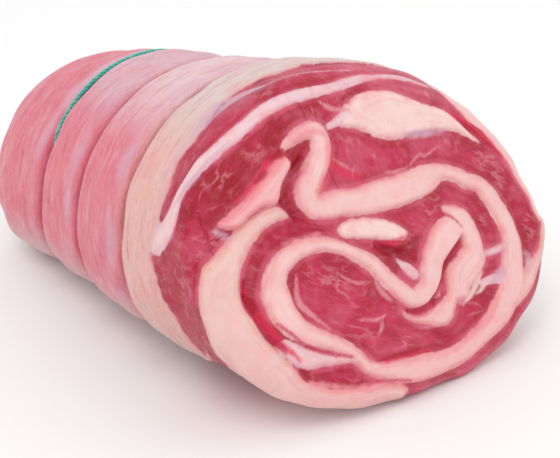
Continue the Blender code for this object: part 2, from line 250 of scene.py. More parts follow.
FAT_NODULE = (
    (-21.6, 28.6), (-19.6, 28.2), (-19, 26), (-21.6, 22.9), (-27.3, 18), (-31.5, 18.1),
    (-36, 17.1), (-39.6, 15.4), (-43, 15.5), (-45.2, 17.2), (-42, 18.7), (-35, 21.4),
    (-31.6, 23.4), (-24.2, 27.2),
)
FAT_ISLAND = (
    (-13, 6), (-10.4, 7.5), (-5.2, 7.1), (0, 5.5), (4, 3.2), (6.7, 0.2), (6.5, -1.2), (4, -1.8),
    (-1.6, 0.2), (-7.2, 2.4), (-11.9, 3.8),
)
FAT_FRINGES = (
    ((-41, -18, 2.2), (-37.6, -22.2, 2.8), (-32.8, -24.1, 2.0), (-28, -25.8, 1.3), (-24.5, -27, 0.9)),
    ((-2.4, 31.9, 0.5), (2, 32.8, 1.0), (6, 34.4, 1.6)),
    ((29, -14.4, 0.9), (32.5, -14.8, 0.9), (35.5, -14.6, 1.2)),
    ((23.4, -22.4, 0.8), (27, -22.1, 1.2), (29.6, -22.9, 1.6)),
    ((1, -7.4, 0.6), (2.5, -10, 1.3), (3.5, -12, 1.4)),
)
# The skin's fat turned over the rim, low on the right and up the right side.
FAT_LAP = (
    (60, -14, 1.4), (53, -16.6, 1.8), (48.5, -21, 2.0), (42.6, -24, 2.4), (37.5, -27.2, 2.6),
    (32.2, -30.8, 1.8),
)
FAT_SIDE = (
    (42, 36), (42, 32), (42.6, 28), (44.2, 22.6), (47.8, 18.7), (49, 14.8), (49.8, 11.4),
    (51, 6.5), (52.2, 1), (53.2, -5), (54, -12.4), (62, -15), (90, -20), (150, 0), (150, 90),
    (60, 46),
)
# The strip of fat between the two outer muscles, round the top of the cut.
FAT_BAND = (
    (-81, 11.5, 2.4), (-78.5, 15.8, 3.6), (-68.5, 23.5, 4.0), (-63.6, 28.1, 4.2), (-59.4, 31.4, 4.0),
    (-51.5, 33.6, 3.5), (-41, 35.1, 2.4), (-32.4, 37.5, 2.2), (-25, 39.6, 1.9), (-18, 41.6, 2.1),
    (-10.6, 42.4, 1.9), (-3, 41.9, 1.7), (4, 41.5, 1.4), (13.2, 41.7, 1.3), (20.5, 41.2, 0.9),
    (28, 39.5, 0.8), (37.8, 34.6, 0.4),
)
# Hollows between folds, as strips.
HOLLOWS = (
    ((-14.7, 26, 0.9), (-19.4, 23.5, 1.4), (-22.8, 20.4, 1.9), (-23.9, 16.8, 1.7), (-22.8, 13, 0.9)),
    ((-3, -0.9, 0.7), (0, -4.2, 1.3), (3.8, -6.2, 1.2), (9.8, -3.6, 0.6)),
    ((22.7, -8.5, 0.5), (18.8, -10.1, 0.7), (14.8, -12.8, 0.7), (12.4, -16.2, 0.7), (6.4, -20.3, 0.7)),
    ((6.4, -20.3, 0.7), (1.4, -21.9, 0.7), (-2.4, -21.2, 0.5)),
    ((-43.8, 1.2, 0.8), (-45.2, -3.6, 1.5), (-45, -8, 0.9), (-44.6, -13.4, 0.8), (-42.8, -17, 0.8)),
)
# Heights of the relief on the cut and depths of its seams, in mm.
FOLD_HEIGHT = 1.2
LEAF_SHARE = 0.8
FRINGE_SHARE = 0.5
RING_HEIGHT = 0.7
PAD_HEIGHT = 1.3
NODULE_HEIGHT = 2.2
BAND_HEIGHT = 0.5
LAP_HEIGHT = 0.6
FOLD_EDGE = 2.4
FRINGE_EDGE = 1.6
SEAM_DEPTH = 0.7
SEAM_PLACE = 1.3
SEAM_WIDTH = 1.2
HOLLOW_DEPTH = 2.0
HOLLOW_EDGE = 1.2
# The relief fades out on the path over the rim, and the strips end farther on.
RELIEF_END = 1.14
RELIEF_FADE = 0.10
FRONT_END = 1.5


def smooth_line(points, steps=5, closed=False):
    """Points on a smooth curve through the given ones."""
    rows = np.array(points, dtype=float)
    if closed:
        rows = np.vstack([rows[-1:], rows, rows[:2]])
    slopes = np.gradient(rows, axis=0)
    first, last = (1, len(rows) - 2) if closed else (0, len(rows) - 1)
    line = [rows[first]]
    for i in range(first, last):
        for k in range(1, steps + 1):
            t = k / steps
            value = (2 * t ** 3 - 3 * t ** 2 + 1) * rows[i] + (t ** 3 - 2 * t ** 2 + t) * slopes[i]
            value = value + (3 * t ** 2 - 2 * t ** 3) * rows[i + 1] + (t ** 3 - t ** 2) * slopes[i + 1]
            line.append(value)
    return np.array(line)


def strip(across, up, points):
    """Distance outside a strip given by centre points and half widths, negative inside."""
    line = smooth_line(points)
    nearest = np.full(across.shape, 1e3)
    for start, end in zip(line[:-1], line[1:]):
        way = end[:2] - start[:2]
        t = ((across - start[0]) * way[0] + (up - start[1]) * way[1]) / max(way.dot(way), 1e-9)
        t = np.clip(t, 0, 1)
        width = start[2] + (end[2] - start[2]) * t
        distance = np.hypot(across - start[0] - way[0] * t, up - start[1] - way[1] * t) - width
        nearest = np.minimum(nearest, distance)
    return nearest


def patch(across, up, points):
    """Distance outside a closed smooth outline, negative inside."""
    line = smooth_line(points, 4, True)
    nearest = np.full(across.shape, 1e6)
    inside = np.zeros(across.shape, bool)
    for start, end in zip(line[:-1], line[1:]):
        way = end - start
        t = ((across - start[0]) * way[0] + (up - start[1]) * way[1]) / max(way.dot(way), 1e-9)
        t = np.clip(t, 0, 1)
        away = (across - start[0] - way[0] * t) ** 2 + (up - start[1] - way[1] * t) ** 2
        nearest = np.minimum(nearest, away)
        crosses = (start[1] > up) != (end[1] > up)
        rise = way[1] if abs(way[1]) > 1e-9 else 1e-9
        inside ^= crosses & (across < start[0] + (up - start[1]) * way[0] / rise)
    nearest = np.sqrt(nearest)
    return np.where(inside, -nearest, nearest)


def cushion(distance, height, edge=FOLD_EDGE):
    """Rounded shoulder of a fold, with a shallow seam round it."""
    t = np.clip(0.5 - distance / edge, 0, 1)
    seam = np.exp(-((distance - SEAM_PLACE) / SEAM_WIDTH) ** 2)
    return height * t * t * (3 - 2 * t) - SEAM_DEPTH * seam


def soft_step(value, low, high):
    t = np.clip((value - low) / (high - low), 0, 1)
    return t * t * (3 - 2 * t)


# Gloss and light add this much to a pigment under the studio light.
GLOSS = 0.020
LIGHT = 1.10


def pigment(text):
    """Linear pigment of an sRGB hex colour, less what gloss and light add to it."""
    parts = [int(text[i:i + 2], 16) / 255 for i in (1, 3, 5)]
    parts = [p / 12.92 if p <= 0.04045 else ((p + 0.055) / 1.055) ** 2.4 for p in parts]
    return [max((part - GLOSS) / LIGHT, 0.003) for part in parts]


def build_cube(grid):
    """A cube with a grid on each side, which is drawn over the roll later."""
    shape = bmesh.new()
    bmesh.ops.create_cube(shape, size=2.0)
    bmesh.ops.subdivide_edges(shape, edges=shape.edges[:], cuts=grid - 1, use_grid_fill=True)
    data = bpy.data.meshes.new("lamb_breast")
    shape.to_mesh(data)
    shape.free()
    return data


def cube_maps(cube):
    """Direction round the roll and place on the path from the cut's middle, of cube points."""
    side = cube[:, 0] * np.sqrt(1 - cube[:, 2] ** 2 / 2)
    rise = cube[:, 2] * np.sqrt(1 - cube[:, 0] ** 2 / 2)
    radius = np.hypot(side, rise)
    cosine = side / np.maximum(radius, 1e-9)
    sine = rise / np.maximum(radius, 1e-9)
    path = np.where(cube[:, 1] < -0.99999, radius, 1 + (cube[:, 1] + 1) / 2)
    return cosine, sine, np.where(cube[:, 1] > 0.99999, 3 - radius, path)


def read_points(data):
    flat = np.zeros(len(data.vertices) * 3)
    data.vertices.foreach_get("co", flat)
    return flat.reshape(-1, 3)


GRID = 150
MEAT_TRIANGLES = 190000

meat_data = build_cube(GRID)
meat = bpy.data.objects.new("lamb_breast", meat_data)
bpy.context.scene.collection.objects.link(meat)
# If it is too heavy, the far end and the underside are thinned before it is shaped.
cube = read_points(meat_data)
thinned = meat.vertex_groups.new(name="thinned")
hidden = (cube[:, 1] > 0.999) | ((cube[:, 2] < -0.999) & (cube[:, 1] > -0.8))
thinned.add([int(i) for i in np.nonzero(hidden)[0]], 1.0, "REPLACE")
full = GRID * GRID * 12
if full > MEAT_TRIANGLES:
    thin = meat.modifiers.new("thin", "DECIMATE")
    thin.ratio = MEAT_TRIANGLES / full
    thin.vertex_group = "thinned"
    graph = bpy.context.evaluated_depsgraph_get()
    lighter = bpy.data.meshes.new_from_object(meat.evaluated_get(graph))
    meat.modifiers.remove(thin)
    meat.data = lighter
    meat_data = lighter
meat.vertex_groups.clear()
cube = read_points(meat_data)
cosine, sine, path = cube_maps(cube)
share, depth = outline(path)
x, y, z, u, v = place_skin(cosine, sine, share, depth)
angle = np.degrees(np.arctan2(sine, cosine)) % 360
meat_data.vertices.foreach_set("co", (np.stack([x, y, z], 1) * MM).ravel())
meat_data.update()
normals = np.zeros(len(meat_data.vertices) * 3)
meat_data.vertex_normals.foreach_get("vector", normals)
normals = normals.reshape(-1, 3)

fold = strip(u, v, FAT_FOLD)
leaf = patch(u, v, FAT_LEAF)
ring = patch(u, v, FAT_RING)
pad = patch(u, v, FAT_PAD)
nodule = patch(u, v, FAT_NODULE)
island = patch(u, v, FAT_ISLAND)
band = strip(u, v, FAT_BAND)
lap = strip(u, v, FAT_LAP)
side = patch(u, v, FAT_SIDE)
fringe = np.minimum.reduce([strip(u, v, points) for points in FAT_FRINGES])

# Outer fat over the sides behind the cut, ending in a ragged edge.
FAT_EDGE = (
    (9, 73), (-10.5, 73), (-21, 72), (-34.5, 68.5), (-42, 63), (-50, 57), (-55, 52), (-62, 47.2),
    (-66, 42.8), (-70, 37), (-73.8, 30.8), (-77, 24), (-82, 13), (-83.5, 5.6), (-82, -1.8),
    (-80.4, -9), (-77, -16.5), (-73.5, -24.5), (-70.5, -30.5), (-66, -38), (-60, -60), (0, -400),
    (-400, -400), (-400, 0), (-400, 400), (30, 400), (30, 73),
)
flank = patch(u, v, FAT_EDGE)
# On the hidden right side the same fat starts this far behind the cut: degrees, mm.
HIDDEN_EDGE = ((-100, 7), (-40, 9), (0, 10), (40, 14), (80, 27), (100, 30))
swing = (angle + 180) % 360 - 180
edge_turns, edge_starts = zip(*HIDDEN_EDGE)
edge_start = np.interp(swing, edge_turns, edge_starts)
edge_start = edge_start + 1.6 * np.sin(np.radians(swing * 5)) + np.sin(np.radians(swing * 11))
hidden_side = np.where((swing > -100) & (swing < 100), edge_start - depth, 5)
flank = np.minimum(flank, np.clip(hidden_side, -6, 20))
flank = np.where(path < 1.02, np.maximum(flank, 5), flank)
# At the far end the skin stops and the coil shows.
END_RIM = 0.74
flank = np.where(path > 2, np.maximum(flank, (END_RIM - share) * HALF_WIDTH[-1]), flank)

lift = cushion(fold, FOLD_HEIGHT) + cushion(ring, RING_HEIGHT)
lift = np.maximum(lift, cushion(leaf, FOLD_HEIGHT * LEAF_SHARE))
lift = np.maximum(lift, cushion(fringe, FOLD_HEIGHT * FRINGE_SHARE, FRINGE_EDGE))
lift = np.maximum(lift, cushion(pad, PAD_HEIGHT))
lift = np.maximum(lift, cushion(nodule, NODULE_HEIGHT))
lift = np.maximum(lift, cushion(island, FOLD_HEIGHT))
for hollow in HOLLOWS:
    lift = lift - HOLLOW_DEPTH * soft_step(-strip(u, v, hollow), -HOLLOW_EDGE, HOLLOW_EDGE)
lift = lift * np.clip((RELIEF_END - path) / RELIEF_FADE, 0, 1)
lift = lift + BAND_HEIGHT * soft_step(-band, -0.8, 1.0) * (path < FRONT_END)
lift = lift + LAP_HEIGHT * soft_step(-lap, -0.8, 1.2) * (path < FRONT_END)
# The fat over the sides is a thin layer that fades out towards the first string.
LAYER_HEIGHT = 0.9
LAYER_END = 62.0
LAYER_FADE = 20.0
layer = soft_step(-flank, -0.8, 0.8) * np.clip((LAYER_END - y) / LAYER_FADE, 0, 1) * (path > 1)
lift = lift + LAYER_HEIGHT * layer
radius = np.hypot(x - SIDE_SHIFT[-1], z - HEIGHT[-1] / 2)
# The far end shows the turns of the coil.
COIL_PITCH = 15.0
COIL_HEIGHT = 0.7
bend = 1.6 * np.sin(x / 7) + 1.3 * np.sin(z / 6 + 1) + 0.8 * np.sin((x + z) / 3.4)
coil = np.cos(2 * math.pi * (radius + bend) / COIL_PITCH - np.radians(angle))
at_end = np.clip((path - 2.25) / 0.2, 0, 1)
lift = lift + COIL_HEIGHT * np.clip(coil * 2, -1, 1) * np.clip(radius / 6, 0, 1) * at_end
# Soft waves all over.
WAVES = 7
WAVE_HEIGHT = 0.10
waves = np.random.RandomState(5)
for i in range(WAVES):
    way = waves.normal(size=3)
    way = way / np.linalg.norm(way) * 2 * math.pi / waves.uniform(9, 26)
    phase = way[0] * x + way[1] * y + way[2] * z + waves.uniform(0, 2 * math.pi)
    lift = lift + WAVE_HEIGHT * np.sin(phase)
x = x + normals[:, 0] * lift
y = y + normals[:, 1] * lift
z = np.maximum(z + normals[:, 2] * lift, 0)
placed = np.stack([x - MIDDLE_X, y - MIDDLE_Y, z], 1) * MM
meat_data.vertices.foreach_set("co", placed.ravel())
meat_data.shade_smooth()
meat_data.update()


# The tissues of raw lamb.
DEEP_LEAN = "#A40C34"
RED_LEAN = "#BC2A4A"
ROSE_LEAN = "#CC3E5E"
PALE_LEAN = "#DA6C84"
MARBLING = "#E895A2"
# Deep red of blood in the creases, darkened there as painted crease shade.
BLOOD_AND_CREASE_SHADE = "#B0003A"
WET_RED = "#E23654"
WHITE_FAT = "#F6D4D0"
FIRM_FAT = "#F0B6B6"
PINK_FAT = "#F0989E"
CREAM_FAT = "#E6B4AA"
GREY_FAT = "#DCCCC6"
THIN_FAT = "#DE6880"
WARM_FAT = "#E8887C"
SILVER_SKIN = "#D8AEBE"
CLEAR_FILM = "#E6C6CE"

# The muscles on the cut: across, up, reach in mm and tissue.
MUSCLES = (
    # Inside the coil: the eye, the lens left of it, the wedge, the lean over the ring.
    (-17, -14, 12, ROSE_LEAN),
    (-43, -2, 6, DEEP_LEAN),
    (-35, -28, 6, RED_LEAN),
    (-31, 10, 6, RED_LEAN),
    (5, -29, 7, RED_LEAN),
    (22, -27, 6, ROSE_LEAN),
    # The deep red in the hollow below the island is partly the lean's own and partly painted shade.
    (2, -4, 4, DEEP_LEAN),
    (26, 2, 9, ROSE_LEAN),
    # Outside it: under the pad, down the right, over the pad, the rim below.
    (14, 20, 14, ROSE_LEAN),
    (47, -6, 10, RED_LEAN),
    (28, 36, 9, PALE_LEAN),
    (0, -43, 12, THIN_FAT),
    # Along the slant on the left, and the outermost muscle round it.
    (-17, 34, 8, DEEP_LEAN),
    (-36, 28, 9, DEEP_LEAN),
    (-62, 6, 14, RED_LEAN),
    (-28, 46, 14, ROSE_LEAN),
)
# The kinds of fat on the cut.
FAT_KINDS = (
    (fold, FIRM_FAT), (leaf, FIRM_FAT), (pad, WHITE_FAT), (side, FIRM_FAT),
    (ring, CREAM_FAT), (lap, CREAM_FAT), (nodule, PINK_FAT), (fringe, CLEAR_FILM),
    (band, CLEAR_FILM), (island, WHITE_FAT),
)
# The lengths between the strings: middle, then tissue on top and down the side.
LENGTHS = (
    (44, GREY_FAT, CREAM_FAT), (76, CLEAR_FILM, THIN_FAT),
    (105, SILVER_SKIN, THIN_FAT), (138, THIN_FAT, THIN_FAT),
)
LENGTH_REACH = 13.0
FAT_SHARPNESS = 0.8
LOW_FAT = 0.5


def mix(first, second, share):
    return first * (1 - share[:, None]) + second * share[:, None]


def weighted(pairs):
    """Mean of the tissues' colours by the weight that each has at a point."""
    total = sum(weight for weight, text in pairs)
    colour = sum(weight[:, None] * np.array(pigment(text)) for weight, text in pairs)
    return colour / total[:, None]


lean_tint = weighted([
    ((1 + ((u - across) ** 2 + (v - up) ** 2) / reach ** 2) ** -3.0, text)
    for across, up, reach, text in MUSCLES
])
fat_tint = weighted([
    (np.exp(-np.clip(distance, -3, 9) / FAT_SHARPNESS), text) for distance, text in FAT_KINDS
])
# The fat is pinker low on the cut.
fat_tint = mix(fat_tint, np.array(pigment(PINK_FAT)), LOW_FAT * soft_step(-v, 10, 36))
near = [np.exp(-((y - row[0]) / LENGTH_REACH) ** 4) + 1e-6 for row in LENGTHS]
top_tint = weighted([(weight, row[1]) for weight, row in zip(near, LENGTHS)])
wall_tint = weighted([(weight, row[2]) for weight, row in zip(near, LENGTHS)])
rise = sine * np.clip(share, 0, 1)
side_tint = mix(wall_tint, top_tint, soft_step(rise, 0.6, 1.0))
side_tint = mix(side_tint, np.array(pigment(GREY_FAT)), 0.8 * soft_step(-rise, 0.15, 0.75))
on_flank = soft_step(-flank, -1.5, 1.5)
fat_tint = mix(fat_tint, side_tint, on_flank)
lean_tint = mix(lean_tint, side_tint, on_flank)
fat = -np.minimum.reduce([fold, leaf, ring, pad, nodule, island, band, fringe, lap, side])
END_FAT = 4.0
fat = np.where(path > 2, (coil - 0.2) * END_FAT, fat)
fat = np.maximum(fat, np.clip(-flank, -3, 3))
fat = np.clip(fat, -4, 4)

# Fine marks by kind: tissue, then lines of across, up and half width in mm.
MARKS = (
    # Deep red lines in the creases and hollows beside the fat: partly blood-red, partly painted crease
    # shade.
    (BLOOD_AND_CREASE_SHADE, (
        ((-24.5, 29.3, 0.3), (-22.5, 29, 0.7), (-20.5, 29.4, 0.9), (-19.4, 30, 0.5)),
        ((-31, 24.2, 0.2), (-28.5, 25.3, 0.5), (-26.5, 26.4, 0.2)),
        ((-45.6, -1.4, 0.5), (-44.8, -3.4, 1.1), (-44.6, -5.4, 0.9), (-45.2, -7.2, 0.4)),
        ((40.4, 23.2, 0.2), (42.2, 20.9, 0.9), (44, 19.2, 0.8), (46, 16, 0.5), (50.4, 9, 0.3)),
        ((-18, -30.4, 0.3), (-12, -31.4, 0.7), (-4, -32, 0.3)),
    )),
    # Pink seams between folds that touch.
    (ROSE_LEAN, (
        HOLLOWS[2],
        HOLLOWS[3],
        ((13.5, -1.3, 0.2), (18.5, 0.9, 0.4), (22.6, -0.7, 0.5), (24.5, -5, 0.2)),
        ((-44.2, -8, 0.3), (-43.8, -13.5, 0.5), (-42, -17, 0.9), (-42, -19, 0.4)),
        ((-41, -11, 0.4), (-38, -15.2, 0.4), (-36.4, -18.2, 0.35), (-31.6, -22.6, 0.6), (-25, -26.2, 0.4)),
        ((-20.4, -35.6, 0.3), (-12, -39.2, 0.3)),
    )),
    # Dark lines in the creases above the pad and beside the ring: painted crease shade.
    (DEEP_LEAN, (
        ((4.6, 36.2, 0.2), (6.6, 37.9, 0.4), (13, 38.6, 0.2)),
        ((-39.8, -24.4, 0.3), (-39, -26, 0.7), (-38.4, -27.6, 0.6)),
    )),
    # Marbling in the eye muscle, the lower lean and the lean outside.
    (MARBLING, (
        ((-29.8, -0.6, 0.2), (-32.2, -7, 0.7), (-31.2, -10.5, 0.8), (-27, -17.4, 0.2)),
        ((-8.2, -7.6, 0.2), (-8, -13, 0.7), (-6.6, -16.8, 0.4)),
        ((-18.4, -4, 0.1), (-14.4, -8.2, 0.4), (-10, -9.6, 0.1)),
        ((-18, -18, 0.1), (-13, -19.8, 0.4), (-9.8, -19.6, 0.1)),
        ((-12, -20.4, 0.1), (-12.4, -22, 0.4), (-14.6, -24.4, 0.1)),
        ((12.2, -22.4, 0.3), (13.6, -24.2, 0.5), (14.6, -25.6, 0.2)),
        ((-1.6, -26.4, 0.1), (1.6, -27, 0.4), (4.4, -27.6, 0.1)),
        ((17.4, 15.8, 0.1), (22.4, 17.7, 0.3), (24, 16.9, 0.3), (29.8, 18.1, 0.1)),
        ((9, 16.4, 0.1), (12.4, 15.6, 0.4), (16.4, 15.5, 0.1)),
        ((-5.4, 24.2, 0.1), (-2.8, 21.6, 0.4), (-0.4, 19.4, 0.1)),
        ((-2, 38.8, 0.2), (0.4, 36.4, 0.6), (5.6, 34.6, 0.4)),
    )),
    # The frayed white edge of the leaf.
    (WHITE_FAT, (
        ((14.5, -25.2, 0.2), (18.6, -24, 0.7), (22, -21.4, 0.8), (25, -19, 0.3)),
        ((20, -24.6, 0.1), (22.4, -24, 0.5), (25, -22.6, 0.1)),
    )),
    # Wrinkles across the fat beside the cut.
    (CREAM_FAT, (
        ((-88, 37.4, 0.1), (-82, 35.6, 0.25), (-77.6, 33.8, 0.3), (-73.8, 31, 0.15)),
        ((-80.4, 37.4, 0.1), (-79, 31, 0.25), (-77, 26, 0.1)),
    )),
)
# Soft membranes, and wet red and pink patches, in the same form.
VEILS = (
    (DEEP_LEAN, (
        ((-60, 25.4, 0.3), (-53, 21.8, 0.8), (-47.4, 17.8, 0.3)),
    )),
    (WET_RED, (
        ((-5, 25, 0.3), (-7.2, 21.8, 0.7), (-11, 19.6, 0.8), (-15, 17.6, 0.4)),
        ((-5, 24, 0.3), (-3.8, 19.8, 0.9), (1, 17, 0.3)),
        ((-19, 29, 0.4), (-24, 28.6, 0.6), (-31, 24.4, 0.4), (-38, 21.4, 0.3)),
        ((-44.6, 2, 0.6), (-44.8, -6, 1.2), (-42.4, -15, 1.0), (-39, -22, 0.4)),
        ((38, 25.6, 0.4), (42.6, 21.2, 1.3), (46.4, 16, 1.0), (50.4, 9, 0.6), (52, 4, 0.2)),
        ((-16, -31.4, 0.4), (-9, -32.4, 0.6), (-2, -33, 0.2)),
        ((-4, -0.6, 0.2), (2, -1.8, 0.8), (6, -1.2, 0.3)),
    )),
    (SILVER_SKIN, (
        ((15, 46, 0.1), (-11.7, 58.7, 1.2), (-26, 66, 2.6), (-42, 63, 2.8), (-52.7, 57, 1.6)),
        ((-52.7, 57, 1.6), (-68, 44.2, 0.9), (-73, 37, 0.6), (-75.7, 26, 0.4)),
        ((27.5, -22.7, 0.8), (29.5, -21.8, 1.3), (31.4, -20.6, 0.8)),
        ((-46.6, 15.6, 1.0), (-43.8, 13.8, 0.6)),
        ((-68, 27, 0.2), (-57, 30, 1.0), (-50, 31, 1.1), (-42, 33.6, 0.8), (-33, 36.6, 0.3)),
        ((20.4, 23.8, 0.6), (26, 22.7, 1.0), (34, 21.6, 0.4)),
        ((41, -18, 0.4), (42.6, -20, 0.8), (39.4, -25, 0.4)),
    )),
    (PINK_FAT, (
        ((-15, 31.6, 0.8), (-9, 32.4, 0.9), (-5, 30, 0.8), (-8.6, 22.6, 0.8), (-13.6, 18, 0.9)),
        ((-38.5, -29.6, 0.8), (-27, -35, 0.7), (-20, -37.4, 0.6)),
        ((10, -34, 0.4), (20, -31.8, 0.6), (26, -28, 0.5)),
        ((-30, 7.4, 0.5), (-19, 7, 0.4)),
    )),
)

# Where marks of two kinds meet, their colours run into each other over this many mm.
MARK_BLEND = 0.4


def draw_marks(across, up, kinds):
    """Distance inside the nearest mark in mm, negative outside, and its colour."""
    reaches = [
        np.maximum.reduce([-strip(across, up, points) for points in lines]) for text, lines in kinds
    ]
    inside = np.maximum.reduce(reaches)
    shares = [np.exp((reach - inside) / MARK_BLEND) for reach in reaches]
    colour = weighted([(weight, kind[0]) for weight, kind in zip(shares, kinds)])
    return np.maximum(inside, -4.0), colour


mark = np.full(len(u), -4.0)
mark_tint = np.zeros((len(u), 3))
veil = np.full(len(u), -4.0)
veil_tint = np.zeros((len(u), 3))
front = path < 1.6
mark[front], mark_tint[front] = draw_marks(u[front], v[front], MARKS)
veil[front], veil_tint[front] = draw_marks(u[front], v[front], VEILS)

# Direction of the muscle fibres: mm along and across them. Round the sides one
# degree counts as 0.8 mm.
ROUND = 0.8
GRAIN_TOP = 14
GRAIN_BEVEL = -8
along = 0.8 * u - 0.6 * v
across_grain = 0.6 * u + 0.8 * v
upper = (v > GRAIN_TOP) & (u > GRAIN_BEVEL)
along = np.where(upper, v, along)
across_grain = np.where(upper, u, across_grain)
bevel = (v > GRAIN_TOP) & (u <= GRAIN_BEVEL)
along = np.where(bevel, 0.9 * u + 0.43 * v, along)
across_grain = np.where(bevel, -0.43 * u + 0.9 * v, across_grain)
side_lean = (u < -50) & (v < 22)
along = np.where(side_lean, y * 1.2, along)
across_grain = np.where(side_lean, angle * ROUND, across_grain)
on_side = flank < 0
along = np.where(on_side, swing * ROUND, along)
across_grain = np.where(on_side, y, across_grain)
at_end = path > 2
along = np.where(at_end, x, along)
across_grain = np.where(at_end, z, across_grain)


def add_attribute(data, name, kind, values):
    made = data.attributes.new(name, kind, "POINT")
    if kind == "FLOAT":
        made.data.foreach_set("value", np.ascontiguousarray(values, dtype=np.float32))
    elif kind == "FLOAT_VECTOR":
        made.data.foreach_set("vector", np.ascontiguousarray(values, dtype=np.float32).ravel())
    else:
        filled = np.hstack([values, np.ones((len(values), 1))])
        made.data.foreach_set("color", filled.astype(np.float32).ravel())


add_attribute(meat_data, "lean_tint", "FLOAT_COLOR", lean_tint)
add_attribute(meat_data, "fat_tint", "FLOAT_COLOR", fat_tint)
add_attribute(meat_data, "fat", "FLOAT", fat)
add_attribute(meat_data, "flank", "FLOAT", soft_step(-flank, -1.0, 1.0))
add_attribute(meat_data, "mark", "FLOAT", mark)
add_attribute(meat_data, "mark_tint", "FLOAT_COLOR", mark_tint)
add_attribute(meat_data, "veil", "FLOAT", veil)
add_attribute(meat_data, "veil_tint", "FLOAT_COLOR", veil_tint)
add_attribute(meat_data, "groove", "FLOAT", np.clip(pinch(y, cosine, sine), 0, 6))
add_attribute(meat_data, "fibre", "FLOAT_VECTOR", np.stack([along, across_grain, depth * 0.3], 1))


def add_node(tree, kind, settings=None, inputs=None, output=0):
    """Adds a node; inputs are values, hex colours or sockets to link. Returns one output."""
    made = tree.nodes.new(kind)
    for key, value in (settings or {}).items():
        setattr(made, key, value)
    for key, value in (inputs or {}).items():
        if isinstance(value, bpy.types.NodeSocket):
            tree.links.new(value, made.inputs[key])
        else:
            made.inputs[key].default_value = (*pigment(value), 1) if isinstance(value, str) else value
    return made.outputs[output] if made.outputs else made


def new_material(name):
    made = bpy.data.materials.new(name)
    made.use_nodes = True
    made.node_tree.nodes.clear()
    return made, made.node_tree


TIMES = {"operation": "MULTIPLY"}
TIMES_PLUS = {"operation": "MULTIPLY_ADD"}


def blend(tree, share, first, second):
    """A colour that runs from the first to the second as the share grows."""
    return add_node(tree, "ShaderNodeMix", {"data_type": "RGBA"}, {0: share, 6: first, 7: second}, 2)


def ease(tree, value, low, high, to_low=0.0, to_high=1.0):
    """A value's range from low to high, turned softly into another range."""
    sockets = {"Value": value, "From Min": low, "From Max": high, "To Min": to_low, "To Max": to_high}
    return add_node(tree, "ShaderNodeMapRange", {"interpolation_type": "SMOOTHSTEP"}, sockets)


def times(tree, first, second, plus=None):
    """The product of two values, with a third one added if it is given."""
    if plus is None:
        return add_node(tree, "ShaderNodeMath", TIMES, {0: first, 1: second})
    return add_node(tree, "ShaderNodeMath", TIMES_PLUS, {0: first, 1: second, 2: plus})


def noise(tree, vector, scale, detail, **more):
    """A noise texture; more holds its other inputs by name."""
    inputs = {"Vector": vector, "Scale": scale, "Detail": detail, **more}
    return add_node(tree, "ShaderNodeTexNoise", inputs=inputs)


def from_middle(tree, value):
    """How far a noise value lies from its middle."""
    value = add_node(tree, "ShaderNodeMath", {"operation": "SUBTRACT"}, {0: value, 1: 0.5})
    return add_node(tree, "ShaderNodeMath", {"operation": "ABSOLUTE"}, {0: value})


def attribute(tree, name, output):
    return add_node(tree, "ShaderNodeAttribute", {"attribute_name": name}, output=output)


# Raw lamb: wet red muscle with fine fibres and marbling, and firm white-pink
# fat with a faint lobed grain, thin membranes over both.
raw, tree = new_material("raw_lamb")
coords = add_node(tree, "ShaderNodeTexCoord", output="Object")
place = add_node(tree, "ShaderNodeVectorMath", TIMES, {0: coords, 1: (1 / MM,) * 3})
fibre = attribute(tree, "fibre", "Vector")
long_fibre = add_node(tree, "ShaderNodeVectorMath", TIMES, {0: fibre, 1: (0.2, 0.6, 1)})
fine_fibre = add_node(tree, "ShaderNodeVectorMath", TIMES, {0: fibre, 1: (0.3, 2.6, 1)})
side_fibre = add_node(tree, "ShaderNodeVectorMath", TIMES, {0: fibre, 1: (0.06, 0.34, 1)})

# The edge of the fat wanders by half a millimetre and frays along the fibres.
fat_edge = attribute(tree, "fat", "Fac")
wander = noise(tree, place, 0.42, 1.5)
fray = noise(tree, fine_fibre, 0.8, 2.0)
edge = times(tree, wander, 1.0, fat_edge)
edge = times(tree, fray, 0.3, edge)
edge = add_node(tree, "ShaderNodeMath", {"operation": "SUBTRACT"}, {0: edge, 1: 0.35})
is_fat = ease(tree, edge, -0.3, 0.35)
flank_share = attribute(tree, "flank", "Fac")

# Lean: mottling, broad patches, long fibres and marbling, darkened towards the fat by
# painted shade and pinker right beside the fat.
lean = attribute(tree, "lean_tint", "Color")
mottle = noise(tree, place, 0.24, 3.0)
light = ease(tree, mottle, 0.48, 0.7, 0, 0.3)
lean = blend(tree, light, lean, ROSE_LEAN)
dark = ease(tree, mottle, 0.52, 0.3, 0, 0.5)
lean = blend(tree, dark, lean, DEEP_LEAN)
broad = noise(tree, place, 0.1, 2.0)
light = ease(tree, broad, 0.5, 0.66, 0, 0.4)
lean = blend(tree, light, lean, PALE_LEAN)
dark = ease(tree, broad, 0.5, 0.34, 0, 0.5)
lean = blend(tree, dark, lean, DEEP_LEAN)
strands = noise(tree, long_fibre, 1.0, 3.0, Roughness=0.55, Distortion=1.4)
light = ease(tree, strands, 0.52, 0.74, 0, 0.24)
lean = blend(tree, light, lean, PALE_LEAN)
dark = ease(tree, strands, 0.48, 0.26, 0, 0.26)
lean = blend(tree, dark, lean, DEEP_LEAN)
marble_fibre = add_node(tree, "ShaderNodeVectorMath", TIMES, {0: fibre, 1: (0.4, 0.85, 1)})
marble = noise(tree, marble_fibre, 0.34, 4.0, Roughness=0.5)
marble = from_middle(tree, marble)
marble = ease(tree, marble, 0.07, 0.0)
here = noise(tree, place, 0.16, 2.0)
here = ease(tree, here, 0.44, 0.68, 0.06, 0.5)
marble = times(tree, marble, here)
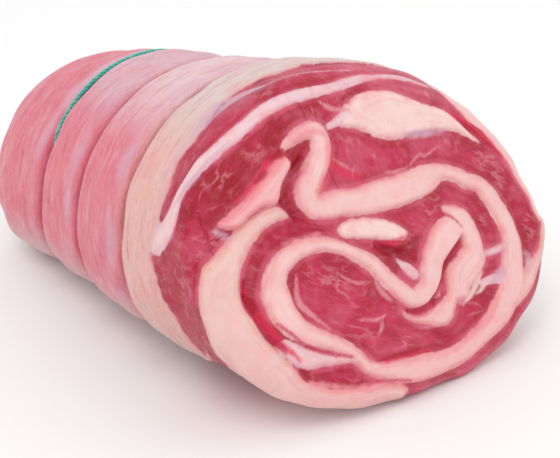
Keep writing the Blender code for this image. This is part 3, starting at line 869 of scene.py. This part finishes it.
lean = blend(tree, marble, lean, MARBLING)
# Painted shade: the lean turns deeper red as it nears the edge of the fat.
painted_shade = ease(tree, edge, -3.2, -1.4, 0, 0.35)
lean = blend(tree, painted_shade, lean, DEEP_LEAN)
tissue = ease(tree, edge, -1.7, -0.5, 0, 0.7)
patchy = ease(tree, broad, 0.4, 0.6, 0.25, 1.0)
tissue = times(tree, tissue, patchy)
lean = blend(tree, tissue, lean, THIN_FAT)

# Fat: soft lobes, pink where it thins out over the lean.
fatty = attribute(tree, "fat_tint", "Color")
lobes = noise(tree, place, 0.3, 2.5)
calm = times(tree, flank_share, -0.75, 1.0)
pale = ease(tree, lobes, 0.48, 0.7, 0, 0.25)
pale = times(tree, pale, calm)
fatty = blend(tree, pale, fatty, WHITE_FAT)
pink = ease(tree, lobes, 0.52, 0.3, 0, 0.4)
pink = times(tree, pink, calm)
fatty = blend(tree, pink, fatty, PINK_FAT)
blush = noise(tree, place, 0.13, 2.0)
blush = ease(tree, blush, 0.5, 0.68, 0, 0.4)
blush = times(tree, blush, calm)
fatty = blend(tree, blush, fatty, PINK_FAT)
core = ease(tree, edge, 0.9, 2.6, 0, 0.5)
core = times(tree, core, calm)
fatty = blend(tree, core, fatty, WHITE_FAT)
thin = ease(tree, edge, 0.0, 1.2, 0.6, 0)
thin = times(tree, thin, patchy)
fatty = blend(tree, thin, fatty, THIN_FAT)

# Faint lines run along the folds, at a distance from their edges.
lines = add_node(tree, "ShaderNodeCombineXYZ", inputs={"X": fat_edge})
lines = add_node(tree, "ShaderNodeVectorMath", TIMES_PLUS, {0: place, 1: (0.1, 0.1, 0.1), 2: lines})
lines = noise(tree, lines, 0.9, 2.5)
light = ease(tree, lines, 0.52, 0.7, 0, 0.3)
light = times(tree, light, calm)
fatty = blend(tree, light, fatty, WHITE_FAT)
dark = ease(tree, lines, 0.47, 0.3, 0, 0.16)
dark = times(tree, dark, calm)
fatty = blend(tree, dark, fatty, THIN_FAT)

# The skin side: pale and red streaks round the roll, paler at the groove rims and
# redder and darker down in the grooves, partly its own red and partly painted shade.
streak = noise(tree, side_fibre, 1.0, 4.0, Roughness=0.6, Distortion=0.4)
light = ease(tree, streak, 0.52, 0.78, 0, 0.3)
light = times(tree, light, flank_share)
fatty = blend(tree, light, fatty, CLEAR_FILM)
dark = ease(tree, streak, 0.5, 0.26, 0, 0.36)
dark = times(tree, dark, flank_share)
fatty = blend(tree, dark, fatty, RED_LEAN)
vein = noise(tree, side_fibre, 1.6, 3.0, Distortion=1.4)
vein = from_middle(tree, vein)
vein = ease(tree, vein, 0.05, 0.0, 0, 0.22)
vein = times(tree, vein, flank_share)
fatty = blend(tree, vein, fatty, RED_LEAN)
patches = noise(tree, place, 0.06, 3.0)
warm = ease(tree, patches, 0.52, 0.7, 0, 0.26)
warm = times(tree, warm, flank_share)
fatty = blend(tree, warm, fatty, WARM_FAT)
skin = noise(tree, side_fibre, 0.6, 3.0, Distortion=0.8)
film = ease(tree, skin, 0.54, 0.76, 0, 0.3)
film = times(tree, film, flank_share)
fatty = blend(tree, film, fatty, CLEAR_FILM)
groove = attribute(tree, "groove", "Fac")
crest = ease(tree, groove, 0.05, 0.5, 0, 0.6)
crest = times(tree, crest, flank_share)
crest = times(tree, crest, patchy)
past = ease(tree, groove, 0.6, 1.8, 1, 0)
crest = times(tree, crest, past)
fatty = blend(tree, crest, fatty, SILVER_SKIN)
# Painted shade: the grooves turn darker red the deeper they are, over the meat's own red.
dark = ease(tree, groove, 0.6, 3.6, 0, 0.6)
dark = times(tree, dark, flank_share)
fatty = blend(tree, dark, fatty, RED_LEAN)

# Membranes and marks lie over both, their edges broken by noise.
colour = blend(tree, is_fat, lean, fatty)
veil = attribute(tree, "veil", "Fac")
veil_tint = attribute(tree, "veil_tint", "Color")
veil = times(tree, wander, 1.6, veil)
veil = times(tree, strands, 1.0, veil)
veil = ease(tree, veil, 0.4, 2.2, 0, 0.85)
colour = blend(tree, veil, colour, veil_tint)
mark = attribute(tree, "mark", "Fac")
mark_tint = attribute(tree, "mark_tint", "Color")
ragged = noise(tree, place, 0.9, 2.0)
mark = times(tree, ragged, 0.6, mark)
mark = ease(tree, mark, -0.25, 0.75, 0, 0.85)
colour = blend(tree, mark, colour, mark_tint)

# Fine relief: fibres on the lean and lobes on the fat.
grain = noise(tree, fine_fibre, 1.2, 3.0)
fine = noise(tree, place, 1.6, 2.0)
coarse = times(tree, strands, 0.8)
folds = times(tree, mottle, 0.5, coarse)
lean_height = times(tree, grain, 0.5, folds)
coarse = times(tree, fine, 0.3)
fat_height = times(tree, lobes, 1.2, coarse)
height = add_node(tree, "ShaderNodeMix", {"data_type": "FLOAT"}, {0: is_fat, 2: lean_height, 3: fat_height})
bump = add_node(tree, "ShaderNodeBump", inputs={"Height": height, "Strength": 0.65, "Distance": 0.0006})
rough = ease(tree, mottle, 0.35, 0.65, 0.28, 0.44)
rough = times(tree, is_fat, 0.1, rough)
shader = add_node(tree, "ShaderNodeBsdfPrincipled", inputs={
    "Base Color": colour,
    "Roughness": rough,
    "Normal": bump,
    "Subsurface Weight": 0.18,
    "Subsurface Scale": 0.002,
    "Subsurface Radius": (1.0, 0.35, 0.25),
    "Specular IOR Level": 0.3,
})
add_node(tree, "ShaderNodeOutputMaterial", inputs={"Surface": shader})
meat_data.materials.clear()
meat_data.materials.append(raw)
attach(meat, "root")
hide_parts("lamb_breast_meat")

# ---------------------------------------------------------------------------
# The strings. Each is a loop of thin elastic, covered with teal yarn wound
# round it, stretched over the roll and sunk in its groove.
# ---------------------------------------------------------------------------

STRINGS = ("string_front", "string_middle", "string_back")
YARN_RADIUS = 0.7
YARN_STRANDS = 3
YARN_PITCH = 5.0
YARN_ROUND = 12
HOOP_RADIUS = 3
YARN_STEPS = 900
# The string lies this far behind the middle of its groove and above its floor, in mm.
STRING_BEHIND = 0.5
STRING_RISE = 0.55

yarn, tree = new_material("teal_covered_elastic")
coords = add_node(tree, "ShaderNodeTexCoord", output="Object")
place = add_node(tree, "ShaderNodeVectorMath", TIMES, {0: coords, 1: (1 / MM,) * 3})
# The strands' crests are painted a lighter teal and the hollows between them a darker teal: painted
# highlight and painted shade over one teal yarn.
ply = attribute(tree, "ply", "Fac")
ply = ease(tree, ply, 0.2, 0.9)
colour = blend(tree, ply, "#10877A", "#48C6B2")
worn = noise(tree, place, 0.6, 3.0)
worn = ease(tree, worn, 0.5, 0.72, 0, 0.7)
colour = blend(tree, worn, colour, "#B8C8C4")
fuzz = noise(tree, place, 5.0, 2.0)
fuzz = add_node(tree, "ShaderNodeBump", inputs={"Height": fuzz, "Strength": 0.5, "Distance": 0.0001})
shader = add_node(tree, "ShaderNodeBsdfPrincipled", inputs={
    "Base Color": colour,
    "Normal": fuzz,
    "Roughness": 0.7,
    "Sheen Weight": 0.3,
})
add_node(tree, "ShaderNodeOutputMaterial", inputs={"Surface": shader})


def string_line(node, turns):
    """Points on the middle of a string at given turns round the roll, in mm."""
    number = STRINGS.index(node)
    groove_place, deep, tilt_c, tilt_s = GROOVES[number]
    cosine = np.cos(turns)
    sine = np.sin(turns)
    place = groove_place + tilt_c * cosine + tilt_s * sine + STRING_BEHIND
    across, up = section(cosine, sine)
    tall = station(HEIGHT, place) / 2
    half = station(HALF_WIDTH, place)
    lean = LEAN_FRONT + LEAN_CHANGE * place / 100
    taken = pinch(place, cosine, sine) - STRING_RISE
    line_x = station(SIDE_SHIFT, place) + (half - taken) * across * (1 - PEAR_SHAPE * up)
    line_x = line_x - lean * tall * up
    line_z = tall - FOOT_DEPTH + (tall - taken) * up
    return np.stack([line_x - MIDDLE_X, place - MIDDLE_Y, line_z], 1)


for node in STRINGS:
    # A ring spun once round, then drawn over the roll.
    shape = bmesh.new()
    start = Matrix.Translation((HOOP_RADIUS, 0, 0)) @ Matrix.Rotation(math.pi / 2, 4, "X")
    bmesh.ops.create_circle(shape, segments=YARN_ROUND, radius=1.0, matrix=start)
    bmesh.ops.spin(
        shape, geom=shape.verts[:] + shape.edges[:], cent=(0, 0, 0), axis=(0, 0, 1),
        angle=2 * math.pi, steps=YARN_STEPS, use_merge=True,
    )
    hoop = np.array([tuple(vert.co) for vert in shape.verts])
    turns = np.arctan2(hoop[:, 1], hoop[:, 0]) % (2 * math.pi)
    around = np.arctan2(hoop[:, 2], np.hypot(hoop[:, 0], hoop[:, 1]) - HOOP_RADIUS)
    line = string_line(node, turns)
    forward = string_line(node, turns + 0.01) - string_line(node, turns - 0.01)
    forward = forward / np.linalg.norm(forward, axis=1)[:, None]
    outward = line - line.mean(0)
    outward = outward - forward * (outward * forward).sum(1)[:, None]
    outward = outward / np.linalg.norm(outward, axis=1)[:, None]
    sideways = np.cross(forward, outward)
    even = np.linspace(0, 2 * math.pi, 721)
    whole = string_line(node, even)
    run = np.concatenate([[0], np.cumsum(np.linalg.norm(np.diff(whole, axis=0), axis=1))])
    twist = np.interp(turns, even, run) / run[-1] * round(run[-1] / YARN_PITCH) * 2 * math.pi
    ply = np.abs(np.cos(YARN_STRANDS / 2 * (around - twist)))
    size = (YARN_RADIUS * (0.86 + 0.14 * ply))[:, None]
    spot = line + (outward * np.cos(around)[:, None] + sideways * np.sin(around)[:, None]) * size
    for vert, point in zip(shape.verts, spot):
        vert.co = point * MM
    bmesh.ops.recalc_face_normals(shape, faces=shape.faces[:])
    data = bpy.data.meshes.new(node + "_yarn")
    shape.to_mesh(data)
    shape.free()
    add_attribute(data, "ply", "FLOAT", ply)
    data.shade_smooth()
    data.materials.append(yarn)
    loop = bpy.data.objects.new(node + "_yarn", data)
    bpy.context.scene.collection.objects.link(loop)
    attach(loop, "root")
    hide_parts(node)

# ---------------------------------------------------------------------------
# The place: a white paper floor, soft studio light and the camera, which is set
# to the photograph's view.
# ---------------------------------------------------------------------------

shape = bmesh.new()
bmesh.ops.create_grid(shape, x_segments=1, y_segments=1, size=3.0)
data = bpy.data.meshes.new("floor")
shape.to_mesh(data)
shape.free()
floor = bpy.data.objects.new("floor", data)
bpy.context.scene.collection.objects.link(floor)
paper, tree = new_material("white_paper")
shader = add_node(tree, "ShaderNodeBsdfPrincipled", inputs={"Base Color": "#FFFFFF", "Roughness": 0.9})
add_node(tree, "ShaderNodeOutputMaterial", inputs={"Surface": shader})
data.materials.append(paper)

world = bpy.data.worlds.new("studio")
bpy.context.scene.world = world
world.use_nodes = True
world.node_tree.nodes["Background"].inputs["Color"].default_value = (1, 1, 1, 1)
world.node_tree.nodes["Background"].inputs["Strength"].default_value = 1.0


def soft_light(name, place, size, power):
    lamp = bpy.data.lights.new(name, "AREA")
    lamp.shape = "DISK"
    lamp.size = size
    lamp.energy = power
    made = bpy.data.objects.new(name, lamp)
    made.location = place
    made.rotation_mode = "QUATERNION"
    made.rotation_quaternion = (Vector((0, 0, 0.04)) - Vector(place)).to_track_quat("-Z", "Y")
    bpy.context.scene.collection.objects.link(made)


soft_light("key", (-0.5, -0.35, 0.9), 0.5, 2.2)
soft_light("fill", (0.7, -0.7, 0.5), 0.6, 0.6)

CAMERA_TURN = math.radians(41.29)
CAMERA_TILT = math.radians(25.49)
CAMERA_ROLL = math.radians(-1.91)
CAMERA_FAR = 0.49612
CAMERA_LENS = 101.54
# The point that it looks at, in the roll's own millimetres.
AIM_X = 23.74
AIM_Y = 75.0
AIM_Z = 16.65
aim = Vector((AIM_X - MIDDLE_X, AIM_Y - MIDDLE_Y, AIM_Z)) * MM
look = Vector((
    math.sin(CAMERA_TURN) * math.cos(CAMERA_TILT),
    math.cos(CAMERA_TURN) * math.cos(CAMERA_TILT),
    -math.sin(CAMERA_TILT),
))
level = Vector((math.cos(CAMERA_TURN), -math.sin(CAMERA_TURN), 0))
upward = level.cross(look)
right = level * math.cos(CAMERA_ROLL) + upward * math.sin(CAMERA_ROLL)
upward = upward * math.cos(CAMERA_ROLL) - level * math.sin(CAMERA_ROLL)
lens = bpy.data.cameras.new("camera")
lens.lens = CAMERA_LENS
lens.sensor_width = 36.0
lens.clip_start = 0.01
lens.clip_end = 10
camera = bpy.data.objects.new("camera", lens)
turn = Matrix((right, upward, -look)).transposed().to_4x4()
camera.matrix_world = Matrix.Translation(aim - look * CAMERA_FAR) @ turn
bpy.context.scene.collection.objects.link(camera)
bpy.context.scene.camera = camera
bpy.context.scene.view_settings.view_transform = "Standard"
